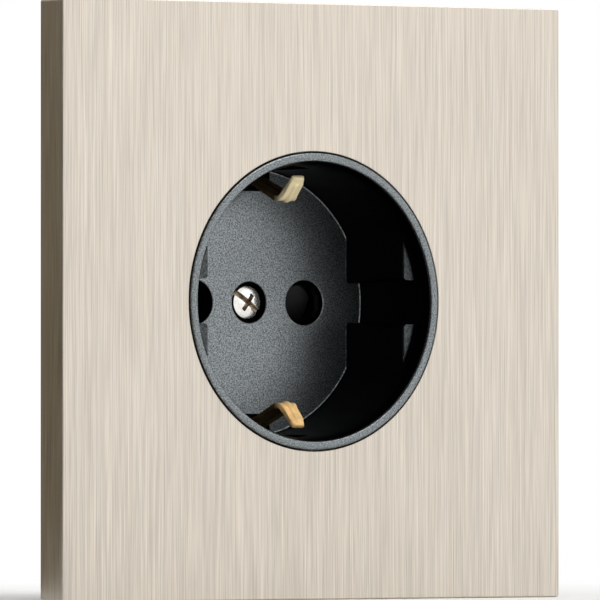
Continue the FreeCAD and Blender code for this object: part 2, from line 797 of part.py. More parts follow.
def whole_base():
    """Moulded base: round flange for the rivets, contact cavities and terminal pockets."""
    body = base_outline(base_r, base_y, base_flange_y)
    body = body.fuse(base_outline(base_half_width, base_y, base_back_y))
    cavity_y = base_y + base_front_wall
    half = strap_half_width + slide_gap
    tools = [block(-half, half, base_y - past, strap_back_y, -far, far)]
    collar_r = screw_shank_r + collar_wall + slide_gap
    tools.append(rod(collar_r, base_y, strap_back_y + screw_reach + stack_gap))
    half = terminal_half_width + terminal_pocket_gap
    tools.append(block(-half, half, strap_back_y, terminal_y + past, terminal_low_z - terminal_pocket_gap,
                       terminal_top_z))
    for x in terminal_places():
        tools.append(terminal_pocket(x))
    for side in (-1, 1):
        x = side * pin_x
        tools.append(rod(pin_hole_r + stack_gap, base_y - past, cavity_y + past, x))
        tools.append(rod(contact_cavity_r, cavity_y, base_back_y + past, x))
        half = tail_thick / 2 + tail_slot_gap
        tools.append(block(x - half, x + half, cavity_y, base_back_y + past, terminal_top_z, 0))
        tools.append(rod(rivet_r + rivet_gap, base_y - past, base_flange_y + past, side * rivet_x))
        x0, x1 = pair((base_half_width - cover_tab_barb - slide_gap, base_r), side)
        tools.append(block(x0, x1, cover_tab_y - slide_gap, cover_tab_y + cover_tab_bite + slide_gap,
                           -cover_tab_half - slide_gap, cover_tab_half + slide_gap))
        head_y = base_y + retainer_head_height
        tools.append(rod(retainer_head_r + stack_gap, base_y - past, head_y,
                         side * retainer_screw_x, retainer_screw_z))
        x0, x1 = pair((lighten_x0, lighten_x1), side)
        tools.append(block(x0, x1, base_y + lighten_wall, base_back_y + past, lighten_z0, lighten_z1))
    for x in wire_places():
        tools.append(upright_rod(terminal_screw_head_r + terminal_screw_hole_gap, -far, terminal_low_z,
                                 x, terminal_screw_y))
    return body.cut(tools)


def mechanism_base():
    """The base above the terminals, where the contacts and the strap lie."""
    return one(whole_base().common(block(-far, far, -far, far, housing_top_z, far)))


def terminal_housing():
    """The base's lower end, with the pockets of the three terminal blocks."""
    return one(whole_base().common(block(-far, far, -far, far, -far, housing_top_z)))


def cover_tab(side):
    """A snap tab at one side of the rear cover, its barb in the base's groove."""
    inner = base_half_width + slide_gap
    outer = inner + cover_tab_thick
    barb = base_half_width - cover_tab_barb
    root = base_half_width - overlap
    outline = [(inner, cover_tab_y + cover_tab_bite, 0), (barb, cover_tab_y + cover_tab_bite, 0),
               (inner, cover_tab_y, 0), (outer, cover_tab_y, 0), (outer, cover_back_y, 0),
               (root, cover_back_y, 0), (root, base_back_y, 0), (inner, base_back_y, 0)]
    tab = prism(outline, vec(0, 0, -cover_tab_half), vec(0, 0, 2 * cover_tab_half))
    return tab if side > 0 else tab.mirror(vec(0, 0, 0), vec(1, 0, 0))


def rear_cover():
    """Snap-on cover over the terminals, with a funnel for each wire and a chamfered edge."""
    lid = base_outline(base_half_width, base_back_y, cover_back_y)
    lid = one(lid.fuse([cover_tab(1), cover_tab(-1)]))
    back = [e for e in lid.Edges if e.BoundBox.YMin > cover_back_y - tiny]
    lid = lid.makeChamfer(rear_cover_edge, back)
    tools = []
    for x in wire_places():
        funnel_y = cover_back_y - (wire_funnel_r - wire_entry_r)
        tools.append(rod(wire_entry_r, base_back_y - past, cover_back_y + past, x, wire_z))
        tools.append(cone(wire_entry_r, wire_funnel_r, funnel_y, cover_back_y, x, wire_z))
    return one(lid.cut(tools))


def assembly_rivets():
    """Two tubular rivets that hold the support frame, the spacers and the base together."""
    front, back = flange_back_y, base_flange_y
    front_top = front - rivet_head_height
    back_top = back + rivet_head_height
    section = [
        line((rivet_bore_r, front_top), (rivet_r, front_top)),
        arc((rivet_r, front_top), (rivet_shoulder_r, front - rivet_shoulder_height),
            (rivet_head_r, front - rivet_head_edge)),
        line((rivet_head_r, front - rivet_head_edge), (rivet_head_r, front)),
        line((rivet_head_r, front), (rivet_r, front)),
        line((rivet_r, front), (rivet_r, back)),
        line((rivet_r, back), (rivet_head_r, back)),
        line((rivet_head_r, back), (rivet_head_r, back + rivet_head_edge)),
        arc((rivet_head_r, back + rivet_head_edge), (rivet_shoulder_r, back + rivet_shoulder_height),
            (rivet_r, back_top)),
        line((rivet_r, back_top), (rivet_bore_r, back_top)),
        line((rivet_bore_r, back_top), (rivet_bore_r, front_top)),
    ]
    rivet = turned(section)
    rivets = []
    for side in (-1, 1):
        copy = rivet.copy()
        copy.translate(vec(side * rivet_x, 0, 0))
        rivets.append(copy)
    return Part.makeCompound(rivets)


def contact_sleeve(side):
    """Slit brass sleeve with a flared mouth, and a tail that bends over the terminal block."""
    outer = sleeve_r + sleeve_wall
    end_y = sleeve_end_y
    flare_y = sleeve_y + sleeve_flare_length
    section = [
        line((sleeve_r + sleeve_flare, sleeve_y), (outer + sleeve_flare, sleeve_y)),
        line((outer + sleeve_flare, sleeve_y), (outer, flare_y)),
        line((outer, flare_y), (outer, end_y)),
        line((outer, end_y), (sleeve_r, end_y)),
        line((sleeve_r, end_y), (sleeve_r, flare_y)),
        line((sleeve_r, flare_y), (sleeve_r + sleeve_flare, sleeve_y)),
    ]
    sleeve = turned(section)
    slit_y = end_y - sleeve_root_length
    half = sleeve_slit / 2
    sleeve = sleeve.cut(block(-half, half, sleeve_y - past, slit_y, -far, far))
    tail_y = end_y - tail_width
    tail_half = tail_thick / 2
    foot_x = terminal_x - pin_x + tail_thick
    shank = block(-tail_half, tail_half, slit_y, end_y, terminal_top_z, -sleeve_r - sleeve_wall / 2)
    foot = block(-tail_half, foot_x, tail_y, end_y, terminal_top_z, terminal_top_z + tail_thick)
    gusset = block(-tail_half, tail_half, tail_y, slit_y, terminal_top_z, terminal_top_z + tail_width)
    body = one(sleeve.fuse([shank, foot, gusset]))
    if side < 0:
        body = body.mirror(vec(0, 0, 0), vec(1, 0, 0))
    body.translate(vec(side * pin_x, 0, 0))
    return body


def sleeve_spring(side):
    """Open steel ring that squeezes the slit sleeve."""
    inner = sleeve_r + sleeve_wall + ring_spring_gap
    y0 = sleeve_y + sleeve_flare_length + ring_spring_set
    y1 = y0 + ring_spring_length
    ring = rod(inner + ring_spring_wall, y0, y1).cut(rod(inner, y0 - past, y1 + past))
    half = ring_spring_opening / 2
    ring = one(ring.cut(block(-half, half, y0 - past, y1 + past, 0, far)))
    ring.translate(vec(side * pin_x, 0, 0))
    return ring


def terminal_block(x, front):
    """Brass block with two wire bores from behind and a threaded hole under each."""
    half = terminal_half_width
    body = block(x - half, x + half, front, terminal_back_y, terminal_low_z, terminal_top_z)
    tools = []
    for side in (-1, 1):
        at = x + side * wire_offset
        tools.append(rod(wire_bore_r, front - past, terminal_back_y + past, at, wire_z))
        tools.append(upright_rod(terminal_screw_r + thread_gap, terminal_low_z - past, wire_z,
                                 at, terminal_screw_y))
    return one(body.cut(tools))


def terminal_screws():
    """Six slotted clamp screws, one under each wire bore, as separate solids."""
    out_z = -base_half_height + terminal_screw_out
    head_z = out_z + terminal_screw_head_height
    tip_z = wire_z - wire_bore_r - terminal_screw_clear
    half = terminal_slot_width / 2
    screws = []
    for x in wire_places():
        head = upright_rod(terminal_screw_head_r, out_z, head_z, x, terminal_screw_y)
        shank = upright_rod(terminal_screw_r, head_z - overlap, tip_z, x, terminal_screw_y)
        cut = block(x - terminal_screw_head_r, x + terminal_screw_head_r, terminal_screw_y - half,
                    terminal_screw_y + half, out_z - past, out_z + terminal_slot_depth)
        screws.append(one(head.fuse(shank).cut(cut)))
    return Part.makeCompound(screws)


nodes = {
    "cover_plate": cover_plate(),
    "left_carrier": carrier_side(-1),
    "right_carrier": carrier_side(1),
    "socket_insert": socket_insert(),
    "centre_screw": centre_screw(),
    "shutter": shutter(),
    "shutter_spring": shutter_spring(),
    "shutter_retainer": shutter_retainer(),
    "retainer_screws": retainer_screws(),
    "earth_strap": earth_strap(),
    "support_frame": support_frame(),
    "assembly_rivets": assembly_rivets(),
    "left_spacer": spacer(-1),
    "right_spacer": spacer(1),
    "mechanism_base": mechanism_base(),
    "terminal_housing": terminal_housing(),
    "rear_cover": rear_cover(),
    "live_contact": contact_sleeve(-1),
    "neutral_contact": contact_sleeve(1),
    "live_sleeve_spring": sleeve_spring(-1),
    "neutral_sleeve_spring": sleeve_spring(1),
    "live_terminal": terminal_block(-terminal_x, terminal_y),
    "earth_terminal": terminal_block(0.0, strap_back_y),
    "neutral_terminal": terminal_block(terminal_x, terminal_y),
    "terminal_screws": terminal_screws(),
}

os.makedirs("parts", exist_ok=True)
for name, shape in nodes.items():
    shape.exportStep(f"parts/{name}.step")
    print(f"{name}: {len(shape.Solids)} solid, {shape.Volume:.1f} mm3, valid {shape.isValid()}")
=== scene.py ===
import json
import math

import bpy
from bpy.props import FloatProperty, FloatVectorProperty, PointerProperty
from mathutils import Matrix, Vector

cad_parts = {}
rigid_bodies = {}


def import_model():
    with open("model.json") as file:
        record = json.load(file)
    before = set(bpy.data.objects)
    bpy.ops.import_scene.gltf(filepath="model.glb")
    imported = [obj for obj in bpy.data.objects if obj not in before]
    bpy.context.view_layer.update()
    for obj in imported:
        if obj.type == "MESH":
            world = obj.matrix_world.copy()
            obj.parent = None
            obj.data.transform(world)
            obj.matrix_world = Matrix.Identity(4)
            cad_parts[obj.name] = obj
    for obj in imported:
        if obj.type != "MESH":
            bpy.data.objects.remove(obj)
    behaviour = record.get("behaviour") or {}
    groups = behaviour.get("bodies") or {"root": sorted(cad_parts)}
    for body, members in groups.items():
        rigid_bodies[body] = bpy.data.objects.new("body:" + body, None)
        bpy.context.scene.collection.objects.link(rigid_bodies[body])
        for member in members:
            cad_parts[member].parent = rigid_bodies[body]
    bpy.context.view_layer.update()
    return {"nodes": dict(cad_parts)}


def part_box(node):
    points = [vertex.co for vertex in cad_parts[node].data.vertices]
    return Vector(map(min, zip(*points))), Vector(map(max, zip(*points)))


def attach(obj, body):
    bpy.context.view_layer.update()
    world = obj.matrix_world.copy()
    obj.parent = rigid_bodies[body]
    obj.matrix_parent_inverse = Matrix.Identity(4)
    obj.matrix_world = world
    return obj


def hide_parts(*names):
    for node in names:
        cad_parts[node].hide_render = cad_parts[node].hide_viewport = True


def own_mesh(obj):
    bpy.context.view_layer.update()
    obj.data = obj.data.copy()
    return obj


bl_info = {
    "name": "Flush wall socket",
    "version": (1, 0, 0),
    "blender": (4, 5, 0),
    "location": "3D View > Sidebar > Socket",
    "description": "Models and finishes the pieces of a flush wall socket around its solid frame",
    "category": "Object",
}

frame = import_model()
plate_low, plate_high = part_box("cover_plate")
insert_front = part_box("socket_insert")[0].y
screw_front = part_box("centre_screw")[0].y
MM = 0.001

# Where shade is painted into the insert's lacquer colour: the well's wall, the ring's inner edge, the tops
# of the guide flats and all that lies behind the floor. Each is a span of radius and of depth behind the
# front.
wall_radius = (15.5 * MM, 20.6 * MM)
wall_depth = (2.75 * MM, 17.13 * MM)
mouth_radius = (18.4 * MM, 20.6 * MM)
mouth_depth = (0.4 * MM, 2.9 * MM)
flats_radius = (15.5 * MM, 19.0 * MM)
flats_depth = (2.2 * MM, 2.8 * MM)
flats_share = 0.72
behind_floor = (17.3 * MM, 17.5 * MM)
# Depth behind the front at which shade is painted onto the brass as brown, and the heights over which the
# lower brass is painted a darker gold as shade
painted_shade_depth = (7.2 * MM, 8.4 * MM)
painted_shade_height = (-15.0 * MM, 0.0)
# Depth in the centre screw's recess from which the head turns brown and duller
slot_brown_depth = (0.38 * MM, 0.62 * MM)


def length(name, description, default):
    """A property that holds a size in metres."""
    return FloatProperty(name=name, description=description, default=default, min=0.0,
                         unit="LENGTH", subtype="DISTANCE", precision=5)


def share(name, description, default, high=1.0):
    """A property that holds a plain number from nought."""
    return FloatProperty(name=name, description=description, default=default, min=0.0, max=high)


def angle(name, description, degrees):
    """A property that holds an angle."""
    return FloatProperty(name=name, description=description, default=math.radians(degrees),
                         unit="ROTATION", subtype="ANGLE")


def colour(name, description, default):
    """A property that holds a linear colour."""
    return FloatVectorProperty(name=name, description=description, default=default, size=3,
                               min=0.0, max=1.0, subtype="COLOR")


class PlateSettings(bpy.types.PropertyGroup):
    skin: length("Skin", "Thickness of the plate's front", 1.4 * MM)
    wall: length("Wall", "Thickness of the plate's rim", 1.5 * MM)
    corner_round: length("Corner round", "Radius of the four upright corners", 0.5 * MM)
    front_round: length("Front round", "Radius of the front edges", 0.25 * MM)
    opening: length("Opening", "Radius of the round opening", 21.35 * MM)
    opening_break: length("Opening edge", "Width of the broken edge round the opening", 0.15 * MM)
    metal: colour("Metal", "Colour of the brushed metal", (0.605, 0.552, 0.479))
    roughness: share("Roughness", "How matt the brushing leaves the metal", 0.42)
    line_width: length("Line width", "Width of one brushed line", 0.12 * MM)
    line_length: length("Line length", "Length of one brushed line", 14.0 * MM)


class PlasticSettings(bpy.types.PropertyGroup):
    insert: colour("Insert", "Colour of the insert's anthracite lacquer", (0.174, 0.190, 0.196))
    insert_metallic: share("Flake", "Share of metal flake in the insert's lacquer", 0.94)
    insert_roughness: share("Insert roughness", "How matt the insert is", 0.34)
    # Painted shade: share of the lacquer's tone left where the well's wall is painted dark
    painted_wall_shade: share("Wall shade", "Share of the lacquer's tone left on the well's wall", 0.012)
    grain: length("Grain", "Size of the insert's grain", 0.21 * MM)
    shutter: colour("Shutter", "Colour of the shutter", (0.035, 0.035, 0.037))
    carrier: colour("Carrier", "Colour of the clip carrier", (0.05, 0.05, 0.052))
    base: colour("Base", "Colour of the base, spacers and rear cover", (0.60, 0.60, 0.58))
    edge_round: length("Edge round", "Radius of moulded edges", 0.10 * MM)
    shutter_travel: length("Shutter travel", "How far the shutter presses its spring", 6.0 * MM)
    ring_inner: length("Ring inside", "Inner radius of the insert's ring", 20.0 * MM)
    ring_outer: length("Ring outside", "Outer radius of the insert's ring", 21.15 * MM)
    ring_inner_round: length("Inner round", "Radius of the ring's inner edge", 0.2 * MM)
    ring_outer_round: length("Outer round", "Radius of the ring's outer edge", 0.3 * MM)
    ring_depth: length("Ring depth", "Depth of the ring's turned front", 1.0 * MM)
    lead_in: length("Lead in", "How far the ring's inside narrows", 0.55 * MM)
    lead_depth: length("Lead depth", "Depth at which the ring's inside is narrowest", 2.2 * MM)


class MetalSettings(bpy.types.PropertyGroup):
    nickel: colour("Nickel", "Colour of the centre screw", (0.92, 0.90, 0.86))
    brass: colour("Brass", "Colour of strap, clips, contacts and terminals", (1.0, 0.88, 0.64))
    # Painted shade: the brown that the brass is given deep in the well, and lightened for the lower clip
    shade_brown: colour("Tarnish", "Colour of the brass deep in the well", (0.13, 0.0875, 0.0425))
    zinc: colour("Zinc", "Colour of frame and small screws", (0.62, 0.64, 0.66))
    spring: colour("Spring steel", "Colour of springs", (0.50, 0.50, 0.50))
    edge_round: length("Edge round", "Radius of pressed and turned edges", 0.06 * MM)
    tumble: length("Tumbling", "Grid that rounds the strap's stamped edges", 0.085 * MM)
    tip_from: length("Tip from", "Distance from the middle at which the clips' round tips start", 16.9 * MM)
    # Brown that the centre screw's slot and cross turn deeper down
    recess: colour("Recess", "Colour of the grime in the centre screw's slot and cross", (0.40, 0.31, 0.22))


class StageSettings(bpy.types.PropertyGroup):
    yaw: angle("Yaw", "How far the camera stands to the left", 33.65)
    rise: angle("Rise", "How far the camera stands above the middle", -0.6)
    distance: length("Distance", "From the camera to the socket", 1.56)
    lens: share("Lens", "Focal length in millimetres on a 36 mm frame", 657.0, 2000.0)
    aim_left: length("Aim left", "How far left of the middle the camera aims", 2.1 * MM)
    aim_up: length("Aim up", "How far above the middle the camera aims", 0.2 * MM)
    floor: colour("Floor", "Colour of the floor", (0.88, 0.875, 0.865))
    key: share("Key", "Power of the key light in watts", 2.0, 100.0)
    top: share("Top", "Power of the light above in watts", 20.0, 100.0)
    fill: share("Fill", "Power of the fill light in watts", 3.0, 100.0)
    ambient: share("Ambient", "Level of the world on matt surfaces", 0.40)


def settings():
    scene = bpy.context.scene
    return scene.socket_plate, scene.socket_plastic, scene.socket_metal, scene.socket_stage


# Helpers for modelling

def only(piece):
    """Selects one object and makes it the active one."""
    if bpy.context.object and bpy.context.object.mode != "OBJECT":
        bpy.ops.object.mode_set(mode="OBJECT")
    bpy.ops.object.select_all(action="DESELECT")
    piece.select_set(True)
    bpy.context.view_layer.objects.active = piece


def pick(piece, kind, wanted, open_only=False):
    """In edit mode, selects the faces or edges for which wanted is true, of all or of the open edges."""
    bpy.ops.object.mode_set(mode="EDIT")
    bpy.ops.mesh.select_mode(type=kind)
    bpy.ops.mesh.select_all(action="DESELECT" if open_only else "SELECT")
    if open_only:
        bpy.ops.mesh.select_non_manifold(use_wire=False, use_multi_face=False, use_non_contiguous=False,
                                         use_verts=False)
    bpy.ops.object.mode_set(mode="OBJECT")
    mesh = piece.data
    items = mesh.polygons if kind == "FACE" else mesh.edges
    points_of = {item.index: [mesh.vertices[i].co for i in item.vertices] for item in items if item.select}
    kept = {index for index, points in points_of.items() if wanted(items[index], points)}
    bpy.ops.object.mode_set(mode="EDIT")
    bpy.ops.mesh.select_all(action="DESELECT")
    bpy.ops.object.mode_set(mode="OBJECT")
    if not kept:
        raise RuntimeError(f"{piece.name}: nothing to select")
    for index in kept:
        items[index].select = True
    bpy.ops.object.mode_set(mode="EDIT")


def settle(piece):
    """Puts the piece's place, turn and scale into its mesh."""
    only(piece)
    bpy.ops.object.transform_apply(location=True, rotation=True, scale=True)


def apply_modifier(piece, kind, **values):
    """Adds a modifier, sets it and applies it."""
    only(piece)
    modifier = piece.modifiers.new(kind.title(), kind)
    for key, value in values.items():
        setattr(modifier, key, value)
    bpy.ops.object.modifier_apply(modifier=modifier.name)


def smooth(piece, degrees=32.0):
    """Smooth shading across soft edges, with flat faces kept flat."""
    only(piece)
    bpy.ops.object.shade_smooth_by_angle(angle=math.radians(degrees))
    apply_modifier(piece, "WEIGHTED_NORMAL", mode="FACE_AREA", weight=50, keep_sharp=True)


def soften(piece, width, segments=2, degrees=35.0):
    """Rounds every edge sharper than the angle and takes out what the rounding left without area."""
    apply_modifier(piece, "BEVEL", width=width, segments=segments, limit_method="ANGLE",
                   angle_limit=math.radians(degrees), use_clamp_overlap=True, miter_outer="MITER_ARC")
    bpy.ops.object.mode_set(mode="EDIT")
    bpy.ops.mesh.select_all(action="SELECT")
    bpy.ops.mesh.remove_doubles(threshold=0.001 * MM)
    bpy.ops.mesh.dissolve_degenerate(threshold=0.0005 * MM)
    bpy.ops.object.mode_set(mode="OBJECT")


def merged_copy(node, name):
    """A copy of a solid's mesh with its loose triangles merged."""
    only(frame["nodes"][node])
    bpy.ops.object.duplicate()
    piece = bpy.context.object
    piece.name = name
    bpy.ops.object.parent_clear(type="CLEAR_KEEP_TRANSFORM")
    settle(piece)
    bpy.ops.object.mode_set(mode="EDIT")
    bpy.ops.mesh.select_all(action="SELECT")
    bpy.ops.mesh.remove_doubles(threshold=0.002 * MM)
    bpy.ops.mesh.dissolve_limited(angle_limit=math.radians(0.4))
    bpy.ops.mesh.select_all(action="DESELECT")
    bpy.ops.object.mode_set(mode="OBJECT")
    if piece.data.has_custom_normals:
        bpy.ops.mesh.customdata_custom_splitnormals_clear()
    return piece


def tumble(piece, grid, rounds, worn, more_rounds):
    """Rounds all edges and corners softly, as tumbling does, and more so where worn is true."""
    apply_modifier(piece, "REMESH", mode="VOXEL", voxel_size=grid, adaptivity=0.0)
    apply_modifier(piece, "SMOOTH", factor=0.5, iterations=rounds)
    pick(piece, "FACE", worn)
    bpy.ops.object.vertex_group_add()
    bpy.ops.object.vertex_group_assign()
    bpy.ops.object.mode_set(mode="OBJECT")
    group = piece.vertex_groups[0].name
    apply_modifier(piece, "SMOOTH", factor=0.5, iterations=more_rounds, vertex_group=group)
    piece.vertex_groups.clear()
    apply_modifier(piece, "DECIMATE", ratio=0.35)
    only(piece)
    bpy.ops.object.shade_smooth()


def joined_copy(nodes, name, on_seam):
    """One mesh for a moulding whose solid is kept in two parts, without the faces between them."""
    parts = [merged_copy(node, f"{node}_part") for node in nodes]
    bpy.ops.object.select_all(action="DESELECT")
    for part in parts:
        part.select_set(True)
    bpy.context.view_layer.objects.active = parts[0]
    bpy.ops.object.join()
    piece = bpy.context.object
    piece.name = name
    pick(piece, "FACE", on_seam)
    bpy.ops.mesh.delete(type="FACE")
    bpy.ops.mesh.select_all(action="SELECT")
    bpy.ops.mesh.remove_doubles(threshold=0.005 * MM)
    bpy.ops.mesh.dissolve_limited(angle_limit=math.radians(0.4))
    bpy.ops.mesh.normals_make_consistent(inside=False)
    bpy.ops.mesh.select_all(action="DESELECT")
    bpy.ops.object.mode_set(mode="OBJECT")
    return piece


def turned_sheet(name, profile, steps):
    """An open sheet turned round the Y axis, from a list of radius and place along Y."""
    radius, place = profile[0]
    bpy.ops.object.select_all(action="DESELECT")
    bpy.ops.mesh.primitive_circle_add(vertices=steps, radius=radius, location=(0, place, 0),
                                      rotation=(math.pi / 2, 0, 0))
    sheet = bpy.context.object
    sheet.name = name
    settle(sheet)
    bpy.ops.object.mode_set(mode="EDIT")
    bpy.ops.mesh.select_mode(type="VERT")
    bpy.ops.mesh.select_all(action="SELECT")
    for next_radius, next_place in profile[1:]:
        grow = next_radius / radius
        bpy.ops.mesh.extrude_region_move(TRANSFORM_OT_translate={"value": (0, next_place - place, 0)})
        bpy.ops.transform.resize(value=(grow, 1.0, grow), center_override=(0, 0, 0))
        radius, place = next_radius, next_place
    bpy.ops.object.mode_set(mode="OBJECT")
    return sheet


def arc(centre, radius, start, end, steps):
    """Points of an arc in the plane of radius and Y, with angles counted from the radius towards Y."""
    angles = [math.radians(start + (end - start) * i / steps) for i in range(steps + 1)]
    return [(centre[0] + radius * math.cos(a), centre[1] + radius * math.sin(a)) for a in angles]


def dress(piece, material, slot, body, *nodes):
    """Gives the piece its finish, hangs it on its body and hides the solids it stands for."""
    piece.data.materials.clear()
    piece.data.materials.append(material)
    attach(piece, body)
    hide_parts(*nodes)


def finish_solid(node, material, slot, round_width, body="socket", degrees=35.0):
    """A solid's merged copy with rounded edges and its finish."""
    piece = merged_copy(node, f"{node}_finished")
    if round_width:
        soften(piece, round_width, degrees=degrees)
    smooth(piece)
    dress(piece, material, slot, body, node)
    return piece


# Helpers for finishes

def new_material(name):
    """A material with its node tree, shader and object coordinates."""
    material = bpy.data.materials.new(name)
    material.use_nodes = True
    tree = material.node_tree
    shader = tree.nodes["Principled BSDF"]
    place = tree.nodes.new("ShaderNodeTexCoord")
    return material, tree, shader, place.outputs["Object"]


def pattern(tree, place, scale, detail=3.0, roughness=0.55, stretch=(1.0, 1.0, 1.0)):
    """Noise of one size, stretched along the axes, from 0 to 1."""
    mapping = tree.nodes.new("ShaderNodeMapping")
    mapping.inputs["Scale"].default_value = stretch
    tree.links.new(place, mapping.inputs["Vector"])
    noise = tree.nodes.new("ShaderNodeTexNoise")
    noise.inputs["Scale"].default_value = scale
    noise.inputs["Detail"].default_value = detail
    noise.inputs["Roughness"].default_value = roughness
    tree.links.new(mapping.outputs["Vector"], noise.inputs["Vector"])
    return noise.outputs["Fac"]


def ranged(tree, value, low, high, source=(0.3, 0.7)):
    """The value spread over a new range."""
    node = tree.nodes.new("ShaderNodeMapRange")
    node.inputs["From Min"].default_value = source[0]
    node.inputs["From Max"].default_value = source[1]
    node.inputs["To Min"].default_value = low
    node.inputs["To Max"].default_value = high
    tree.links.new(value, node.inputs["Value"])
    return node.outputs["Result"]


def blended(tree, value, dark, light):
    """A colour between two, by the value."""
    mix = tree.nodes.new("ShaderNodeMix")
    mix.data_type = "RGBA"
    mix.inputs["A"].default_value = (*dark, 1.0)
    mix.inputs["B"].default_value = (*light, 1.0)
    tree.links.new(value, mix.inputs["Factor"])
    return mix.outputs["Result"]


def relief(tree, shader, height, depth, strength=1.0):
    """Bump of a real depth in metres."""
    bump = tree.nodes.new("ShaderNodeBump")
    bump.inputs["Distance"].default_value = depth
    bump.inputs["Strength"].default_value = strength
    tree.links.new(height, bump.inputs["Height"])
    tree.links.new(bump.outputs["Normal"], shader.inputs["Normal"])


def scaled(tone, factor):
    return tuple(min(1.0, part * factor) for part in tone)


def shared(tree, operation, first, second):
    """The two values put together by one sum, product or maximum."""
    node = tree.nodes.new("ShaderNodeMath")
    node.operation = operation
    tree.links.new(first, node.inputs[0])
    tree.links.new(second, node.inputs[1])
    return node.outputs["Value"]


def within(tree, value, low, high, edge):
    """One where the value lies between low and high, with soft edges, and nought elsewhere."""
    rise = ranged(tree, value, 0.0, 1.0, (low - edge, low + edge))
    drop = ranged(tree, value, 1.0, 0.0, (high - edge, high + edge))
    return shared(tree, "MULTIPLY", rise, drop)


def split(tree, place):
    """The X, Y and Z of a place."""
    parts = tree.nodes.new("ShaderNodeSeparateXYZ")
    tree.links.new(place, parts.inputs["Vector"])
    return parts.outputs["X"], parts.outputs["Y"], parts.outputs["Z"]


def brushed_nickel(name, tone, roughness, line_width, line_length):
    """Metal brushed up and down: long fine lines in colour, gloss and relief."""
    material, tree, shader, place = new_material(name)
    across = 1.0 / line_width
    along = 1.0 / line_length
    lines = pattern(tree, place, 1.0, 2.0, 0.6, (across, across, along))
    broad = pattern(tree, place, 1.0, 2.0, 0.5, (across / 9, across / 9, along / 3))
    both = tree.nodes.new("ShaderNodeMix")
    both.inputs["Factor"].default_value = 0.12
    tree.links.new(lines, both.inputs["A"])
    tree.links.new(broad, both.inputs["B"])
    mixed = both.outputs["Result"]
    tone_of_line = blended(tree, ranged(tree, mixed, 0.0, 1.0), scaled(tone, 0.70), scaled(tone, 1.26))
    tree.links.new(tone_of_line, shader.inputs["Base Color"])
    tree.links.new(ranged(tree, mixed, roughness - 0.08, roughness + 0.08), shader.inputs["Roughness"])
    shader.inputs["Metallic"].default_value = 1.0
    shader.inputs["Anisotropic"].default_value = 0.4
    relief(tree, shader, mixed, 0.004 * MM, 0.5)
    return material


def painted_well_shade(tree, place):
    """One where shade is painted into the lacquer: on the well's wall, the ring's inner edge, the flats'
    tops and behind the floor.
    """
    x, y, z = split(tree, place)
    flat = tree.nodes.new("ShaderNodeCombineXYZ")
    tree.links.new(x, flat.inputs["X"])
    tree.links.new(z, flat.inputs["Z"])
    away = tree.nodes.new("ShaderNodeVectorMath")
    away.operation = "LENGTH"
    tree.links.new(flat.outputs["Vector"], away.inputs[0])
    radius = away.outputs["Value"]

    def zone(radii, radius_edge, depths, depth_edge):
        near, far = (insert_front + depth for depth in depths)
        return shared(tree, "MULTIPLY", within(tree, radius, *radii, radius_edge),
                      within(tree, y, near, far, depth_edge))

    wall = zone(wall_radius, 0.1 * MM, wall_depth, 0.05 * MM)
    mouth = zone(mouth_radius, 0.6 * MM, mouth_depth, 0.1 * MM)
    flats = zone(flats_radius, 0.1 * MM, flats_depth, 0.05 * MM)
    behind = ranged(tree, y, 0.0, 1.0, [insert_front + depth for depth in behind_floor])
    painted_zones = shared(tree, "MAXIMUM", shared(tree, "MAXIMUM", wall, mouth), behind)
    return shared(tree, "MAXIMUM", painted_zones, ranged(tree, flats, 0.0, flats_share, (0.0, 1.0)))


def lacquered_plastic(name, tone, metallic, roughness, grain, painted_wall_shade):
    """Dark moulded plastic under a fine flake lacquer, with shade painted into its colour on the well's
    wall.
    """
    material, tree, shader, place = new_material(name)
    specks = pattern(tree, place, 1.0 / grain, 1.0, 0.7)
    haze = pattern(tree, place, 90.0, 2.0, 0.5)
    coat = blended(tree, ranged(tree, specks, 0.0, 1.0), scaled(tone, 0.35), scaled(tone, 1.78))
    # Painted shade: the coat's colour turns near black on the well's wall, the ring's inner edge and the
    # flats' tops
    well_shade_mix = tree.nodes.new("ShaderNodeMix")
    well_shade_mix.data_type = "RGBA"
    tree.links.new(coat, well_shade_mix.inputs["A"])
    well_shade_mix.inputs["B"].default_value = (*scaled(tone, painted_wall_shade), 1.0)
    tree.links.new(painted_well_shade(tree, place), well_shade_mix.inputs["Factor"])
    tree.links.new(well_shade_mix.outputs["Result"], shader.inputs["Base Color"])
    tree.links.new(ranged(tree, haze, roughness - 0.03, roughness + 0.03), shader.inputs["Roughness"])
    shader.inputs["Metallic"].default_value = metallic
    shader.inputs["Specular Tint"].default_value = (0.5, 0.5, 0.5, 1.0)
    relief(tree, shader, specks, 0.02 * MM, 0.8)
    return material


def moulded_plastic(name, tone, roughness, grain):
    """Plain moulded plastic with a fine even grain and slightly uneven gloss."""
    material, tree, shader, place = new_material(name)
    specks = pattern(tree, place, 1.0 / grain, 2.0, 0.6)
    flow = pattern(tree, place, 120.0, 3.0, 0.5)
    tree.links.new(blended(tree, ranged(tree, flow, 0.0, 1.0), scaled(tone, 0.95), scaled(tone, 1.04)),
                   shader.inputs["Base Color"])
    tree.links.new(ranged(tree, specks, roughness - 0.05, roughness + 0.05), shader.inputs["Roughness"])
    relief(tree, shader, specks, 0.006 * MM, 0.5)
    return material


